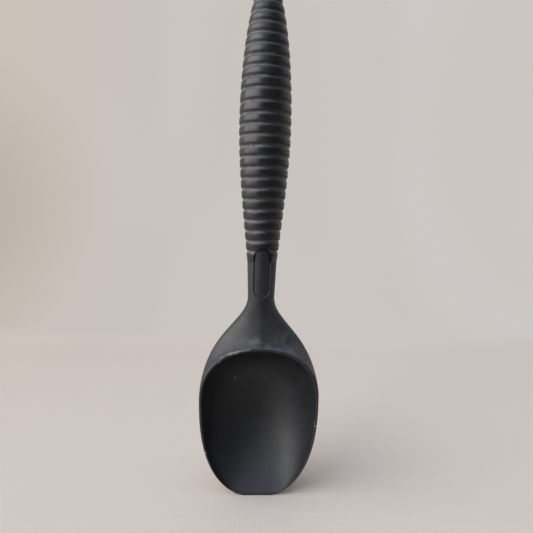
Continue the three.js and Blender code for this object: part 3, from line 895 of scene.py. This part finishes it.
def dress(piece, node, material):
    """Puts a piece in the place of a solid of the frame, with its finish."""
    piece.data.materials.append(material)
    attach(piece, "root")
    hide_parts(node)


dress(make_head(), "scoop_head", head_plastic())
dress(make_grip(), "grip_sleeve", grip_rubber())
dress(make_plug(), "end_plug", plug_plastic())

# Stage: a pale floor that sweeps up into a backdrop, in metres
STAGE_HALF_WIDTH = 1.8
STAGE_FRONT = -0.14
COVE_START = 0.22
COVE_RADIUS = 0.28
STAGE_TOP = 1.7
# Floor colours: painted shade on the left and painted light on the right, evening out the window lamp's
# brighter left
CLOTH_LEFT_PAINTED_SHADE = (0.55, 0.495, 0.44, 1)
CLOTH_RIGHT_PAINTED_LIGHT = (0.71, 0.645, 0.59, 1)
CLOTH_LIGHT_DRIFT = 0.3
WALL_LEFT = (0.60, 0.54, 0.49, 1)
WALL_RIGHT = (0.61, 0.575, 0.555, 1)
WALL_DRIFT = (-0.4, 0.1)
WALL_SHADE = (0.44, 0.385, 0.33, 1)
SHADE_PLACE = (-0.47, 0.08)
SHADE_REACH = 0.34
WALL_FROM = 0.0
WALL_FULL = 0.007
WEAVE_PITCH = 0.0016
WEAVE_RELIEF = 0.00005
CLOTH_ROUGHNESS = 0.9
CLOTH_SPECULAR = 0.1
FOLD_STRETCH = (3.0, 1.0, 0.8)
FOLD_SCALE = 2.2
FOLD_RANGE = (0.3, 0.7)
FOLD_SHADE = 0.12


def stage_cloth():
    """Pale woven cloth: the floor takes light and shadow over a painted shade that pales from left to right;
    the backdrop is seen in its own tone.
    """
    material, nodes, shader = new_material("pale_cloth")
    place = nodes.place()
    axes = nodes.add("ShaderNodeSeparateXYZ", {"Vector": place}).outputs
    thread = 2 * math.pi / WEAVE_PITCH
    across = nodes.math("SINE", nodes.math("MULTIPLY", nodes.math("ADD", axes["X"], axes["Y"]), thread))
    along = nodes.math("SINE", nodes.math("MULTIPLY", nodes.math("SUBTRACT", axes["X"], axes["Y"]), thread))
    weave = nodes.math("MULTIPLY", across, along)
    # Painted light and shade: the floor darkens to the left and pales to the right
    painted_light_drift = nodes.ramp(axes["X"], -CLOTH_LIGHT_DRIFT, CLOTH_LIGHT_DRIFT)
    nodes.tree.links.new(nodes.blend(painted_light_drift, CLOTH_LEFT_PAINTED_SHADE, CLOTH_RIGHT_PAINTED_LIGHT), shader.inputs["Base Color"])
    shader.inputs["Roughness"].default_value = CLOTH_ROUGHNESS
    shader.inputs["Specular IOR Level"].default_value = CLOTH_SPECULAR
    bump = nodes.add("ShaderNodeBump", {"Height": weave, "Distance": WEAVE_RELIEF, "Strength": 1.0})
    nodes.tree.links.new(bump.outputs[0], shader.inputs["Normal"])

    aside = nodes.math("SUBTRACT", axes["X"], SHADE_PLACE[0])
    above = nodes.math("SUBTRACT", axes["Z"], SHADE_PLACE[1])
    squares = nodes.math("ADD", nodes.math("POWER", aside, 2.0), nodes.math("POWER", above, 2.0))
    spread = nodes.math("SQRT", squares)
    shade = nodes.math("SUBTRACT", 1.0, nodes.ramp(spread, 0.0, SHADE_REACH))
    folds = nodes.ramp(nodes.noise(nodes.place(FOLD_STRETCH), FOLD_SCALE, 1.0, 0.4), *FOLD_RANGE)
    tone = nodes.math("MAXIMUM", shade, nodes.math("MULTIPLY", folds, FOLD_SHADE))
    plain = nodes.blend(nodes.ramp(axes["X"], *WALL_DRIFT), WALL_LEFT, WALL_RIGHT)
    wall = nodes.add("ShaderNodeEmission", {"Color": nodes.blend(tone, plain, WALL_SHADE)})
    path = nodes.add("ShaderNodeLightPath", {}).outputs
    seen = nodes.math("MAXIMUM", path["Is Camera Ray"], path["Is Glossy Ray"])
    seen = nodes.math("MAXIMUM", seen, path["Is Transmission Ray"])
    share = nodes.math("MULTIPLY", seen, nodes.ramp(axes["Z"], WALL_FROM, WALL_FULL))
    mixed = nodes.add("ShaderNodeMixShader", {0: share, 1: shader.outputs[0], 2: wall.outputs[0]})
    output = nodes.tree.nodes["Material Output"]
    nodes.tree.links.new(mixed.outputs[0], output.inputs["Surface"])
    return material


def make_stage():
    """Floor, quarter-round cove and upright backdrop as one profile carried straight along X."""
    turn = np.linspace(0, math.pi / 2, COVE_ROWS)
    profile_y = np.hstack([STAGE_FRONT, COVE_START + COVE_RADIUS * np.sin(turn), COVE_START + COVE_RADIUS])
    profile_z = np.hstack([0, COVE_RADIUS * (1 - np.cos(turn)), STAGE_TOP])
    ends = np.array([-STAGE_HALF_WIDTH, STAGE_HALF_WIDTH])
    points = np.stack(np.broadcast_arrays(ends, profile_y[:, None], profile_z[:, None]), -1)
    faces = 2 * np.arange(len(profile_y) - 1)[:, None] + np.array([0, 1, 3, 2])
    mesh = bpy.data.meshes.new("stage")
    mesh.from_pydata(points.reshape(-1, 3).tolist(), [], faces.tolist())
    mesh.polygons.foreach_set("use_smooth", np.ones(len(faces), bool))
    stage = bpy.data.objects.new("stage", mesh)
    bpy.context.scene.collection.objects.link(stage)
    stage.data.materials.append(stage_cloth())


def make_light(name, place, target, size, radiance, colour):
    """Oblong soft light at a place, turned to a target; its power gives it the brightness asked for."""
    lamp = bpy.data.lights.new(name, "AREA")
    lamp.shape = "RECTANGLE"
    lamp.size, lamp.size_y = size
    lamp.energy = radiance * math.pi * size[0] * size[1]
    lamp.color = colour
    light = bpy.data.objects.new(name, lamp)
    light.location = place
    light.rotation_euler = (Vector(target) - Vector(place)).to_track_quat("-Z", "Y").to_euler()
    bpy.context.scene.collection.objects.link(light)


def make_world(horizon, ceiling, edge):
    """Room light: dim near the horizon, bright overhead.

    edge gives the heights, as sines, between which the dim part changes to the bright one.
    """
    world = bpy.data.worlds.new("room")
    world.use_nodes = True
    nodes = Nodes(world.node_tree)
    background = world.node_tree.nodes["Background"]
    direction = nodes.add("ShaderNodeTexCoord", {}).outputs["Generated"]
    height = nodes.add("ShaderNodeSeparateXYZ", {"Vector": direction}).outputs["Z"]
    room = nodes.blend(nodes.ramp(height, *edge), horizon, ceiling)
    world.node_tree.links.new(room, background.inputs["Color"])
    bpy.context.scene.world = world


SCOOP_MIDDLE = (0, 0, 0.1)
make_stage()
make_world((0.10, 0.10, 0.10, 1), (0.84, 0.98, 1.24, 1), (0.72, 0.95))
make_light("window", (-1.45, -0.42, 0.74), SCOOP_MIDDLE, (2.5, 1.45), 4.0, (1.0, 0.97, 0.93))
make_light("skylight", (-0.46, -0.50, 0.97), SCOOP_MIDDLE, (1.2, 0.7), 1.3, (0.88, 0.97, 1.15))
make_light("pale_wall", (1.30, 0.10, 0.70), SCOOP_MIDDLE, (1.2, 1.1), 0.38, (1.0, 0.98, 0.95))

# Camera, fitted to the photograph: pinhole over a square frame
FRAME_PIXELS = 533
FOCAL_PIXELS = 494
EYE_DISTANCE = 212.0
EYE_HEIGHT = 123.3
EYE_AZIMUTH = math.radians(-2.0)
LOOK_AZIMUTH = math.radians(-2.545)
LOOK_DOWN = math.radians(6.15)
ROLL = math.radians(1.45)


def make_camera():
    """Camera in front of the bowl, looking slightly down, rolled so that the handle leans right."""
    data = bpy.data.cameras.new("camera")
    data.sensor_width = 36.0
    data.lens = data.sensor_width * FOCAL_PIXELS / FRAME_PIXELS
    data.clip_start = 0.01
    forward = Vector((-math.sin(LOOK_AZIMUTH) * math.cos(LOOK_DOWN),
                      math.cos(LOOK_AZIMUTH) * math.cos(LOOK_DOWN), -math.sin(LOOK_DOWN)))
    level = Vector((math.cos(LOOK_AZIMUTH), math.sin(LOOK_AZIMUTH), 0))
    upright = level.cross(forward)
    right = level * math.cos(ROLL) + upright * math.sin(ROLL)
    up = upright * math.cos(ROLL) - level * math.sin(ROLL)
    place = Vector((math.sin(EYE_AZIMUTH) * EYE_DISTANCE,
                    AXIS_Y - math.cos(EYE_AZIMUTH) * EYE_DISTANCE, EYE_HEIGHT)) * MM
    camera = bpy.data.objects.new("camera", data)
    turn = Matrix((right, up, -forward)).transposed().to_4x4()
    camera.matrix_world = Matrix.Translation(place) @ turn
    bpy.context.scene.collection.objects.link(camera)
    bpy.context.scene.camera = camera


make_camera()
bpy.context.scene.view_settings.view_transform = "Standard"
